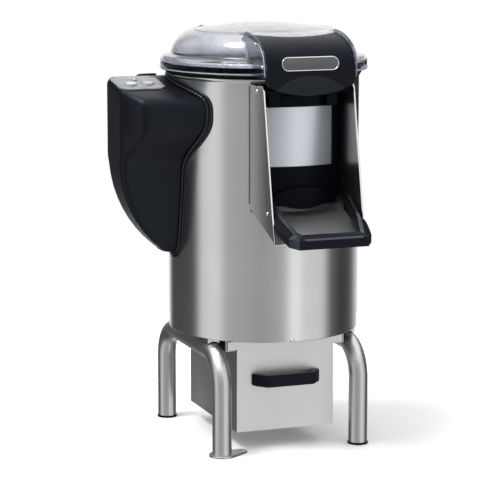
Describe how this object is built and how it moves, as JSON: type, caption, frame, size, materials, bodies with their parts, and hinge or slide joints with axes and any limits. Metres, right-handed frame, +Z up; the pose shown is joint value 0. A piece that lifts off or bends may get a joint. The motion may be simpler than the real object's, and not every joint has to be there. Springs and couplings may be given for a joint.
{
  "type": "mussel cleaning machine",
  "caption": "Floor-standing steel drum machine that cleans mussels: hinged clear lid, spinning plate, front discharge door and chute, side control housing, waste drawer between tube legs.",
  "frame": {"origin": "on the drum's axis, on the floor", "axes": "+Z up, -Y to the front where the chute is, -X to the control housing"},
  "size_m": [0.545, 0.631, 0.878],
  "materials": {
    "brushed_drum": "brushed round the drum",
    "steel": "satin",
    "leg_tube": "satin",
    "chute_steel": "satin",
    "drawer_steel": "fine satin",
    "bright_fastener": "polished",
    "cast_drive": "as cast",
    "abrasive_plate": "gritty",
    "motor_paint": "semi-gloss",
    "black_plastic": "satin",
    "rubber": "matte",
    "clear_lid": "clear gloss polycarbonate",
    "badge_metal": "satin, blank",
    "panel_grey": "satin",
    "green_button": "gloss",
    "red_button": "gloss",
    "lamp": "translucent",
    "contactor_case": "matte",
    "brass_inlet": "plated"
  },
  "bodies": {
    "machine": {"drum_shell": "brushed_drum", "bottom_cover": "steel", "tank_floor": "steel", "wall_ribs": "steel", "drain_pipe": "steel", "motor_plate": "steel", "left_drawer_rail": "steel", "right_drawer_rail": "steel", "hinge_bracket": "steel", "leg_saddles": "steel", "left_leg_frame": "leg_tube", "right_leg_frame": "leg_tube", "floor_flange": "leg_tube", "left_chute_plate": "chute_steel", "right_chute_plate": "chute_steel", "chute_floor": "chute_steel", "bearing_bolts": "bright_fastener", "motor_bolts": "bright_fastener", "chute_screws": "bright_fastener", "housing_screws": "bright_fastener", "door_hinge_pin": "bright_fastener", "lid_hinge_pin": "bright_fastener", "spindle_bearings": "bright_fastener", "bearing_housing": "cast_drive", "motor_body": "motor_paint", "control_housing": "black_plastic", "spout_rim": "black_plastic", "cable_gland": "black_plastic", "lid_switch": "black_plastic", "shaft_seal": "rubber", "drive_belt": "rubber", "housing_gasket": "rubber", "cable_bush": "rubber", "foot_caps": "rubber", "window_seal": "rubber", "rim_gasket": "rubber", "control_panel": "panel_grey", "power_lamp": "lamp", "contactor": "contactor_case", "water_inlet": "brass_inlet"},
    "lid": {"lid_dome": "clear_lid", "lid_visor": "black_plastic", "visor_badge": "badge_metal", "visor_rivets": "bright_fastener"},
    "door": {"door_surround": "black_plastic", "door_panel": "drawer_steel"},
    "drawer": {"drawer_box": "drawer_steel", "drawer_front": "drawer_steel", "drawer_handle": "black_plastic", "handle_screws": "bright_fastener", "filter_tray": "drawer_steel"},
    "spinner": {"spindle": "bright_fastener", "cleaning_plate": "abrasive_plate", "plate_nut": "bright_fastener", "driven_pulley": "cast_drive"},
    "rotor": {"motor_shaft": "bright_fastener", "drive_pulley": "cast_drive"},
    "start_key": {"start_button": "green_button"},
    "stop_key": {"stop_button": "red_button"}
  },
  "joints": [
    {"name": "lid_hinge", "type": "hinge", "parent": "machine", "child": "lid", "pos_m": [0, 0.232, 0.774], "axis": [-1, 0, 0], "range_deg": [0, 100]},
    {"name": "door_hinge", "type": "hinge", "parent": "machine", "child": "door", "pos_m": [0, -0.216, 0.755], "axis": [-1, 0, 0], "range_deg": [0, 65]},
    {"name": "drawer_slide", "type": "slide", "parent": "machine", "child": "drawer", "axis": [0, -1, 0], "range_m": [0, 0.24]},
    {"name": "plate_spin", "type": "hinge", "parent": "machine", "child": "spinner", "pos_m": [0, 0, 0.5], "axis": [0, 0, 1], "continuous": true},
    {"name": "motor_spin", "type": "hinge", "parent": "machine", "child": "rotor", "pos_m": [0.09994, 0.06998, 0.3], "axis": [0, 0, 1], "continuous": true},
    {"name": "start_press", "type": "slide", "parent": "machine", "child": "start_key", "axis": [0, 0.1736, -0.9848], "range_m": [0, 0.003], "stiffness_N_per_m": 400},
    {"name": "stop_press", "type": "slide", "parent": "machine", "child": "stop_key", "axis": [0, 0.1736, -0.9848], "range_m": [0, 0.003], "stiffness_N_per_m": 400}
  ],
  "couplings": [
    {"joint": "motor_spin", "follows": "plate_spin", "ratio": 4}
  ]
}
